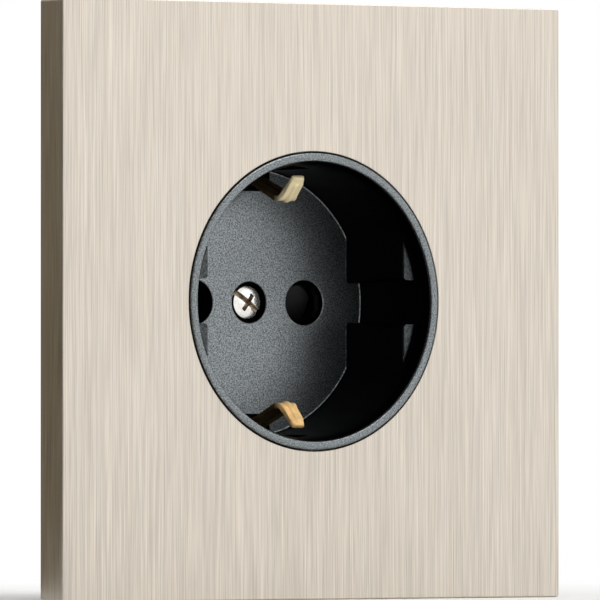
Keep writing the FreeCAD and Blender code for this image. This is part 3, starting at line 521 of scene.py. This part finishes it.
def rolled_metal(name, tone, roughness, stretch, shade_brown=None):
    """Rolled or drawn metal: faint lines along its length, a slightly mottled tone and any painted shade:
    brown deep in the well, a darker gold lower down.
    """
    material, tree, shader, place = new_material(name)
    lines = pattern(tree, place, 1.0, 2.0, 0.6, stretch)
    cloud = ranged(tree, pattern(tree, place, 350.0, 3.0, 0.6), 0.0, 1.0)
    clean = blended(tree, cloud, scaled(tone, 0.88), scaled(tone, 1.06))
    # Painted shade: brown with depth behind the front, and a darker gold towards the bottom
    if shade_brown:
        _, y, z = split(tree, place)
        deep = ranged(tree, y, 0.0, 1.0, [insert_front + depth for depth in painted_shade_depth])
        low = ranged(tree, z, 0.9, 0.0, painted_shade_height)
        for where, shade_tone in ((low, scaled(shade_brown, 7.2)), (deep, shade_brown)):
            shade_mix = tree.nodes.new("ShaderNodeMix")
            shade_mix.data_type = "RGBA"
            tree.links.new(where, shade_mix.inputs["Factor"])
            tree.links.new(clean, shade_mix.inputs["A"])
            shade_colour = blended(tree, cloud, scaled(shade_tone, 0.7), scaled(shade_tone, 1.2))
            tree.links.new(shade_colour, shade_mix.inputs["B"])
            clean = shade_mix.outputs["Result"]
    tree.links.new(clean, shader.inputs["Base Color"])
    tree.links.new(ranged(tree, lines, roughness - 0.08, roughness + 0.08), shader.inputs["Roughness"])
    shader.inputs["Metallic"].default_value = 1.0
    relief(tree, shader, lines, 0.002 * MM, 0.6)
    return material


def turned_nickel(name, tone, darkening, roughness):
    """Bright plated head, dull and brown down in the slot and the cross."""
    material, tree, shader, place = new_material(name)
    y = split(tree, place)[1]
    deep = ranged(tree, y, 0.0, 1.0, [screw_front + depth for depth in slot_brown_depth])
    cloud = pattern(tree, place, 1500.0, 3.0, 0.6)
    mix = tree.nodes.new("ShaderNodeMix")
    mix.data_type = "RGBA"
    tree.links.new(deep, mix.inputs["Factor"])
    tree.links.new(blended(tree, ranged(tree, cloud, 0.0, 1.0), scaled(tone, 0.9), scaled(tone, 1.06)),
                   mix.inputs["A"])
    tree.links.new(blended(tree, ranged(tree, cloud, 0.0, 1.0), scaled(darkening, 0.4), scaled(darkening, 1.5)),
                   mix.inputs["B"])
    tree.links.new(mix.outputs["Result"], shader.inputs["Base Color"])
    tree.links.new(ranged(tree, deep, roughness, roughness + 0.25, (0.0, 1.0)), shader.inputs["Roughness"])
    shader.inputs["Metallic"].default_value = 1.0
    relief(tree, shader, cloud, 0.006 * MM, 0.6)
    return material


finishes = {}


def finish(name):
    """The named finish, made once."""
    plate, plastic, metal, _ = settings()
    makers = {
        "plate_metal": lambda: brushed_nickel("brushed_nickel", plate.metal, plate.roughness,
                                              plate.line_width, plate.line_length),
        "insert_plastic": lambda: lacquered_plastic("anthracite_lacquer", plastic.insert,
                                                    plastic.insert_metallic, plastic.insert_roughness,
                                                    plastic.grain, plastic.painted_wall_shade),
        "carrier_plastic": lambda: moulded_plastic("black_moulding", plastic.carrier, 0.55, 0.25 * MM),
        "shutter_plastic": lambda: moulded_plastic("shutter_moulding", plastic.shutter, 0.38, 0.3 * MM),
        "base_plastic": lambda: moulded_plastic("pale_moulding", plastic.base, 0.5, 0.25 * MM),
        "nickel_screw": lambda: turned_nickel("turned_nickel", metal.nickel, metal.recess, 0.22),
        "contact_brass": lambda: rolled_metal("rolled_brass", metal.brass, 0.85,
                                              (5000.0, 250.0, 250.0), metal.shade_brown),
        "zinc_plated_steel": lambda: rolled_metal("zinc_plating", metal.zinc, 0.36,
                                                  (1200.0, 1200.0, 200.0)),
        "spring_steel": lambda: rolled_metal("spring_wire", metal.spring, 0.3,
                                             (1500.0, 1500.0, 1500.0)),
    }
    if name not in finishes:
        finishes[name] = makers[name]()
    return finishes[name]


# Pieces

class SOCKET_OT_cover_plate(bpy.types.Operator):
    """Models the square metal tray with its round opening"""
    bl_idname = "socket.cover_plate"
    bl_label = "Cover plate"

    def execute(self, context):
        plate = settings()[0]
        size = plate_high - plate_low
        middle = (plate_low + plate_high) / 2
        bpy.ops.object.select_all(action="DESELECT")
        bpy.ops.mesh.primitive_cube_add(size=1.0, location=middle, scale=size)
        tray = context.object
        tray.name = "cover_plate_brushed"
        settle(tray)
        pick(tray, "FACE", lambda f, p: f.normal.y > 0.99)
        bpy.ops.mesh.inset(thickness=plate.wall, depth=0.0)
        bpy.ops.mesh.extrude_region_move(TRANSFORM_OT_translate={"value": (0, plate.skin - size.y, 0)})
        bpy.ops.object.mode_set(mode="OBJECT")
        pick(tray, "EDGE", lambda e, p: abs(p[0].y - p[1].y) > size.y / 2)
        bpy.ops.mesh.bevel(offset=plate.corner_round, segments=5, affect="EDGES")
        bpy.ops.object.mode_set(mode="OBJECT")
        pick(tray, "EDGE", lambda e, p: all(abs(q.y - plate_low.y) < 0.01 * MM for q in p))
        bpy.ops.mesh.bevel(offset=plate.front_round, segments=4, affect="EDGES")
        bpy.ops.object.mode_set(mode="OBJECT")
        bpy.ops.object.select_all(action="DESELECT")
        bpy.ops.mesh.primitive_cylinder_add(vertices=192, radius=plate.opening, depth=4 * size.y,
                                            location=middle, rotation=(math.pi / 2, 0, 0))
        cutter = context.object
        settle(cutter)
        apply_modifier(tray, "BOOLEAN", operation="DIFFERENCE", object=cutter, solver="EXACT")
        bpy.data.objects.remove(cutter)
        only(tray)
        pick(tray, "EDGE", lambda e, p: all(abs(q.y - plate_low.y) < 0.01 * MM
                                            and abs(math.hypot(q.x, q.z) - plate.opening) < 0.02 * MM
                                            for q in p))
        bpy.ops.mesh.bevel(offset=plate.opening_break, segments=3, affect="EDGES")
        bpy.ops.object.mode_set(mode="OBJECT")
        smooth(tray)
        dress(tray, finish("plate_metal"), "plate_metal", "socket", "cover_plate")
        return {"FINISHED"}


class SOCKET_OT_plate_carrier(bpy.types.Operator):
    """Finishes the moulded carrier behind the cover plate"""
    bl_idname = "socket.plate_carrier"
    bl_label = "Plate carrier"

    def execute(self, context):
        plastic = settings()[1]
        nodes = ("left_carrier", "right_carrier")
        piece = joined_copy(nodes, "plate_carrier_finished",
                            lambda f, p: all(abs(q.x) < 0.001 * MM for q in p))
        soften(piece, plastic.edge_round)
        smooth(piece)
        dress(piece, finish("carrier_plastic"), "carrier_plastic", "socket", *nodes)
        return {"FINISHED"}


class SOCKET_OT_socket_insert(bpy.types.Operator):
    """Finishes the insert: ring, well with its guide flats, floor and skirt"""
    bl_idname = "socket.socket_insert"
    bl_label = "Socket insert"

    def execute(self, context):
        plastic = settings()[1]
        front = insert_front
        cut = front + plastic.ring_depth
        inner, outer = plastic.ring_inner, plastic.ring_outer
        inside, outside = plastic.ring_inner_round, plastic.ring_outer_round
        piece = merged_copy("socket_insert", "socket_insert_finished")
        bpy.ops.object.mode_set(mode="EDIT")
        bpy.ops.mesh.select_all(action="SELECT")
        bpy.ops.mesh.bisect(plane_co=(0, cut, 0), plane_no=(0, 1, 0), clear_inner=True)
        bpy.ops.object.mode_set(mode="OBJECT")
        slope = plastic.lead_in / (plastic.lead_depth - inside)
        end = cut - 0.05 * MM
        low = inner - slope * (end - front - inside)
        profile = [(low, end)]
        profile += arc((inner + inside, front + inside), inside, 180, 270, 6)
        profile += arc((outer - outside, front + outside), outside, -90, 0, 7)
        profile.append((outer, end))
        ring = turned_sheet("ring_front", profile, steps=288)
        only(piece)
        ring.select_set(True)
        bpy.ops.object.join()
        middle = (inner + outer) / 2
        for inwards in (True, False):
            pick(piece, "EDGE", lambda e, p: (math.hypot(p[0].x, p[0].z) < middle) == inwards
                 and all(q.y < cut + 0.01 * MM for q in p), open_only=True)
            bpy.ops.mesh.bridge_edge_loops()
            bpy.ops.object.mode_set(mode="OBJECT")
        bpy.ops.object.mode_set(mode="EDIT")
        bpy.ops.mesh.select_all(action="SELECT")
        bpy.ops.mesh.normals_make_consistent(inside=False)
        bpy.ops.object.mode_set(mode="OBJECT")
        soften(piece, plastic.edge_round / 2, degrees=50.0)
        smooth(piece, 50.0)
        dress(piece, finish("insert_plastic"), "insert_plastic", "socket", "socket_insert")
        return {"FINISHED"}


class SOCKET_OT_centre_screw(bpy.types.Operator):
    """Finishes the slotted and crossed screw in the middle"""
    bl_idname = "socket.centre_screw"
    bl_label = "Centre screw"

    def execute(self, context):
        metal = settings()[2]
        finish_solid("centre_screw", finish("nickel_screw"), "nickel_screw", metal.edge_round)
        return {"FINISHED"}


class SOCKET_OT_earth_strap(bpy.types.Operator):
    """Finishes the earth strap with its two clips"""
    bl_idname = "socket.earth_strap"
    bl_label = "Earth strap"

    def execute(self, context):
        metal = settings()[2]
        piece = merged_copy("earth_strap", "earth_strap_finished")
        tumble(piece, metal.tumble, rounds=20, worn=lambda f, p: abs(f.center.z) > metal.tip_from,
               more_rounds=90)
        dress(piece, finish("contact_brass"), "contact_brass", "socket", "earth_strap")
        return {"FINISHED"}


class SOCKET_OT_shutter(bpy.types.Operator):
    """Finishes the shutter with its spring, lid and lid screws"""
    bl_idname = "socket.shutter"
    bl_label = "Shutter"

    def execute(self, context):
        _, plastic, metal, _ = settings()
        finish_solid("shutter", finish("shutter_plastic"), "shutter_plastic", plastic.edge_round, "shutter")
        spring = finish_solid("shutter_spring", finish("spring_steel"), "spring_steel", 0.0)
        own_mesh(spring)
        finish_solid("shutter_retainer", finish("base_plastic"), "base_plastic", plastic.edge_round)
        finish_solid("retainer_screws", finish("zinc_plated_steel"), "zinc_plated_steel", metal.edge_round)
        return {"FINISHED"}


class SOCKET_OT_support_frame(bpy.types.Operator):
    """Finishes the pressed steel frame that the wall box's screws hold"""
    bl_idname = "socket.support_frame"
    bl_label = "Support frame"

    def execute(self, context):
        metal = settings()[2]
        finish_solid("support_frame", finish("zinc_plated_steel"), "zinc_plated_steel", metal.edge_round)
        return {"FINISHED"}


class SOCKET_OT_mechanism(bpy.types.Operator):
    """Finishes the base, its spacers, the rear cover and the rivets"""
    bl_idname = "socket.mechanism"
    bl_label = "Mechanism"

    def execute(self, context):
        _, plastic, metal, _ = settings()
        for node in ("left_spacer", "right_spacer", "rear_cover"):
            finish_solid(node, finish("base_plastic"), "base_plastic", plastic.edge_round)
        nodes = ("mechanism_base", "terminal_housing")
        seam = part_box("terminal_housing")[1].z
        piece = joined_copy(nodes, "mechanism_base_finished",
                            lambda f, p: all(abs(q.z - seam) < 0.001 * MM for q in p))
        soften(piece, plastic.edge_round)
        smooth(piece)
        dress(piece, finish("base_plastic"), "base_plastic", "socket", *nodes)
        finish_solid("assembly_rivets", finish("contact_brass"), "contact_brass", metal.edge_round)
        return {"FINISHED"}


class SOCKET_OT_contacts(bpy.types.Operator):
    """Finishes the contact sleeves, their springs, the terminals and the clamp screws"""
    bl_idname = "socket.contacts"
    bl_label = "Contacts and terminals"

    def execute(self, context):
        metal = settings()[2]
        for node in ("live_contact", "neutral_contact", "live_terminal", "earth_terminal",
                     "neutral_terminal"):
            finish_solid(node, finish("contact_brass"), "contact_brass", metal.edge_round)
        for node in ("live_sleeve_spring", "neutral_sleeve_spring"):
            finish_solid(node, finish("spring_steel"), "spring_steel", 0.0)
        finish_solid("terminal_screws", finish("zinc_plated_steel"), "zinc_plated_steel", metal.edge_round)
        return {"FINISHED"}


# Stage

def camera_rays(tree, emission, other):
    """Camera, mirror and clear rays see the emission; all other rays see the second shader."""
    path = tree.nodes.new("ShaderNodeLightPath")
    seen = shared(tree, "MAXIMUM", path.outputs["Is Camera Ray"], path.outputs["Is Glossy Ray"])
    seen = shared(tree, "MAXIMUM", seen, path.outputs["Is Transmission Ray"])
    mix = tree.nodes.new("ShaderNodeMixShader")
    tree.links.new(seen, mix.inputs["Fac"])
    tree.links.new(other, mix.inputs[1])
    tree.links.new(emission, mix.inputs[2])
    return mix.outputs["Shader"]


def white_world(ambient):
    """World that is white to the camera and in mirrors, and a soft grey on matt surfaces."""
    world = bpy.data.worlds.new("studio_world")
    world.use_nodes = True
    tree = world.node_tree
    soft = tree.nodes["Background"]
    soft.inputs["Color"].default_value = (1.0, 1.0, 1.0, 1.0)
    soft.inputs["Strength"].default_value = ambient
    white = tree.nodes.new("ShaderNodeBackground")
    white.inputs["Color"].default_value = (1.0, 1.0, 1.0, 1.0)
    shader = camera_rays(tree, white.outputs["Background"], soft.outputs["Background"])
    tree.links.new(shader, tree.nodes["World Output"].inputs["Surface"])
    bpy.context.scene.world = world


def pale_floor(level, tone):
    """Floor that takes the socket's shadow and turns plain white further away."""
    bpy.ops.object.select_all(action="DESELECT")
    bpy.ops.mesh.primitive_circle_add(vertices=96, radius=60.0, fill_type="NGON", location=(0, 0, level))
    floor = bpy.context.object
    floor.name = "floor"
    material, tree, shader, place = new_material("pale_floor")
    shader.inputs["Base Color"].default_value = (*tone, 1.0)
    shader.inputs["Roughness"].default_value = 0.9
    away = tree.nodes.new("ShaderNodeVectorMath")
    away.operation = "LENGTH"
    tree.links.new(place, away.inputs[0])
    far = ranged(tree, away.outputs["Value"], 0.0, 1.0, (0.06, 0.16))
    white = tree.nodes.new("ShaderNodeEmission")
    seen = camera_rays(tree, white.outputs["Emission"], shader.outputs["BSDF"])
    fade = tree.nodes.new("ShaderNodeMixShader")
    tree.links.new(far, fade.inputs["Fac"])
    tree.links.new(shader.outputs["BSDF"], fade.inputs[1])
    tree.links.new(seen, fade.inputs[2])
    tree.links.new(fade.outputs["Shader"], tree.nodes["Material Output"].inputs["Surface"])
    floor.data.materials.append(material)


def flag(name, start, end, inner, height, tone):
    """Dark studio flag on the floor and up the wall, which only shows in mirror reflections.

    Its angles are counted from the socket's front, and the left is minus."""
    outer = 2.4
    low = plate_low.z + 0.001
    first = math.radians(start)
    bpy.ops.object.select_all(action="DESELECT")
    bpy.ops.mesh.primitive_plane_add(size=1.0, location=(0, 0, 0))
    card = bpy.context.object
    card.name = name
    bpy.ops.object.mode_set(mode="EDIT")
    bpy.ops.mesh.select_mode(type="VERT")
    bpy.ops.mesh.select_all(action="SELECT")
    bpy.ops.mesh.merge(type="CENTER")
    bpy.ops.transform.translate(value=(inner * math.sin(first), -inner * math.cos(first), low))
    bpy.ops.mesh.extrude_region_move(TRANSFORM_OT_translate={
        "value": ((outer - inner) * math.sin(first), (inner - outer) * math.cos(first), 0.0)})
    bpy.ops.mesh.extrude_region_move(TRANSFORM_OT_translate={"value": (0.0, 0.0, height)})
    bpy.ops.mesh.select_all(action="SELECT")
    bpy.ops.mesh.spin(steps=24, angle=math.radians(start - end), center=(0, 0, 0), axis=(0, 0, 1))
    bpy.ops.object.mode_set(mode="OBJECT")
    if not card.data.polygons:
        raise RuntimeError(f"{name}: the flag has no faces")
    material, tree, shader, _ = new_material(name)
    glow = tree.nodes.new("ShaderNodeEmission")
    glow.inputs["Color"].default_value = (*tone, 1.0)
    tree.links.new(glow.outputs["Emission"], tree.nodes["Material Output"].inputs["Surface"])
    card.data.materials.append(material)
    card.visible_camera = False
    card.visible_diffuse = False
    card.visible_shadow = False
    card.visible_transmission = False


def soft_lamp(name, where, size, power, tone=(1.0, 1.0, 1.0)):
    """Square area light that faces the socket's middle."""
    bpy.ops.object.light_add(type="AREA", location=where)
    lamp = bpy.context.object
    lamp.name = name
    lamp.data.size = size
    lamp.data.energy = power
    lamp.data.color = tone
    lamp.rotation_euler = (-Vector(where)).to_track_quat("-Z", "Y").to_euler()
    return lamp


class SOCKET_OT_stage(bpy.types.Operator):
    """Sets the floor, the studio light and the camera"""
    bl_idname = "socket.stage"
    bl_label = "Stage"

    def execute(self, context):
        stage = settings()[3]
        white_world(stage.ambient)
        pale_floor(plate_low.z, stage.floor)
        flag("left_flag", start=-70.0, end=-100.0, inner=0.07, height=2.5, tone=(0.0, 0.0, 0.0))
        flag("rear_flag", start=-100.0, end=-185.0, inner=0.046, height=2.5, tone=(0.15, 0.125, 0.08))
        soft_lamp("key", (1.0, -1.45, 0.2), 0.9, stage.key)
        soft_lamp("top", (0.3, -0.3, 1.6), 1.5, stage.top)
        soft_lamp("fill", (-0.9, 1.1, 0.9), 1.2, stage.fill)
        bpy.ops.object.camera_add()
        camera = context.object
        camera.name = "view"
        yaw, rise = stage.yaw, stage.rise
        back = Vector((-math.sin(yaw) * math.cos(rise), -math.cos(yaw) * math.cos(rise), math.sin(rise)))
        turn = (-back).to_track_quat("-Z", "Y")
        right = turn @ Vector((1.0, 0.0, 0.0))
        up = turn @ Vector((0.0, 1.0, 0.0))
        aim = Vector((0.0, plate_low.y, 0.0)) + up * stage.aim_up - right * stage.aim_left
        camera.location = aim + back * stage.distance
        camera.rotation_euler = turn.to_euler()
        camera.data.lens = stage.lens
        camera.data.sensor_width = 36.0
        camera.data.clip_start = 0.05
        camera.data.clip_end = 200.0
        context.scene.camera = camera
        context.scene.view_settings.view_transform = "Standard"
        return {"FINISHED"}


class SOCKET_PT_panel(bpy.types.Panel):
    """Sidebar panel with a button for each group of pieces and their sizes and colours"""
    bl_idname = "SOCKET_PT_panel"
    bl_label = "Wall socket"
    bl_space_type = "VIEW_3D"
    bl_region_type = "UI"
    bl_category = "Socket"

    def draw(self, context):
        column = self.layout.column()
        for operator in operators:
            column.operator(operator.bl_idname, text=operator.bl_label)
        for name, group in groups.items():
            box = self.layout.box()
            box.label(text=group.__name__.replace("Settings", ""))
            for key in group.__annotations__:
                box.prop(getattr(context.scene, name), key)


groups = {
    "socket_plate": PlateSettings,
    "socket_plastic": PlasticSettings,
    "socket_metal": MetalSettings,
    "socket_stage": StageSettings,
}
operators = (
    SOCKET_OT_cover_plate,
    SOCKET_OT_plate_carrier,
    SOCKET_OT_socket_insert,
    SOCKET_OT_centre_screw,
    SOCKET_OT_earth_strap,
    SOCKET_OT_shutter,
    SOCKET_OT_support_frame,
    SOCKET_OT_mechanism,
    SOCKET_OT_contacts,
    SOCKET_OT_stage,
)


def register():
    for name, group in groups.items():
        bpy.utils.register_class(group)
        setattr(bpy.types.Scene, name, PointerProperty(type=group))
    for operator in operators:
        bpy.utils.register_class(operator)
    bpy.utils.register_class(SOCKET_PT_panel)


def unregister():
    bpy.utils.unregister_class(SOCKET_PT_panel)
    for operator in reversed(operators):
        bpy.utils.unregister_class(operator)
    for name, group in groups.items():
        delattr(bpy.types.Scene, name)
        bpy.utils.unregister_class(group)


def main():
    register()
    bpy.ops.socket.cover_plate()
    bpy.ops.socket.plate_carrier()
    bpy.ops.socket.socket_insert()
    bpy.ops.socket.centre_screw()
    bpy.ops.socket.earth_strap()
    bpy.ops.socket.shutter()
    bpy.ops.socket.support_frame()
    bpy.ops.socket.mechanism()
    bpy.ops.socket.contacts()
    bpy.ops.socket.stage()


if __name__ == "__main__":
    main()
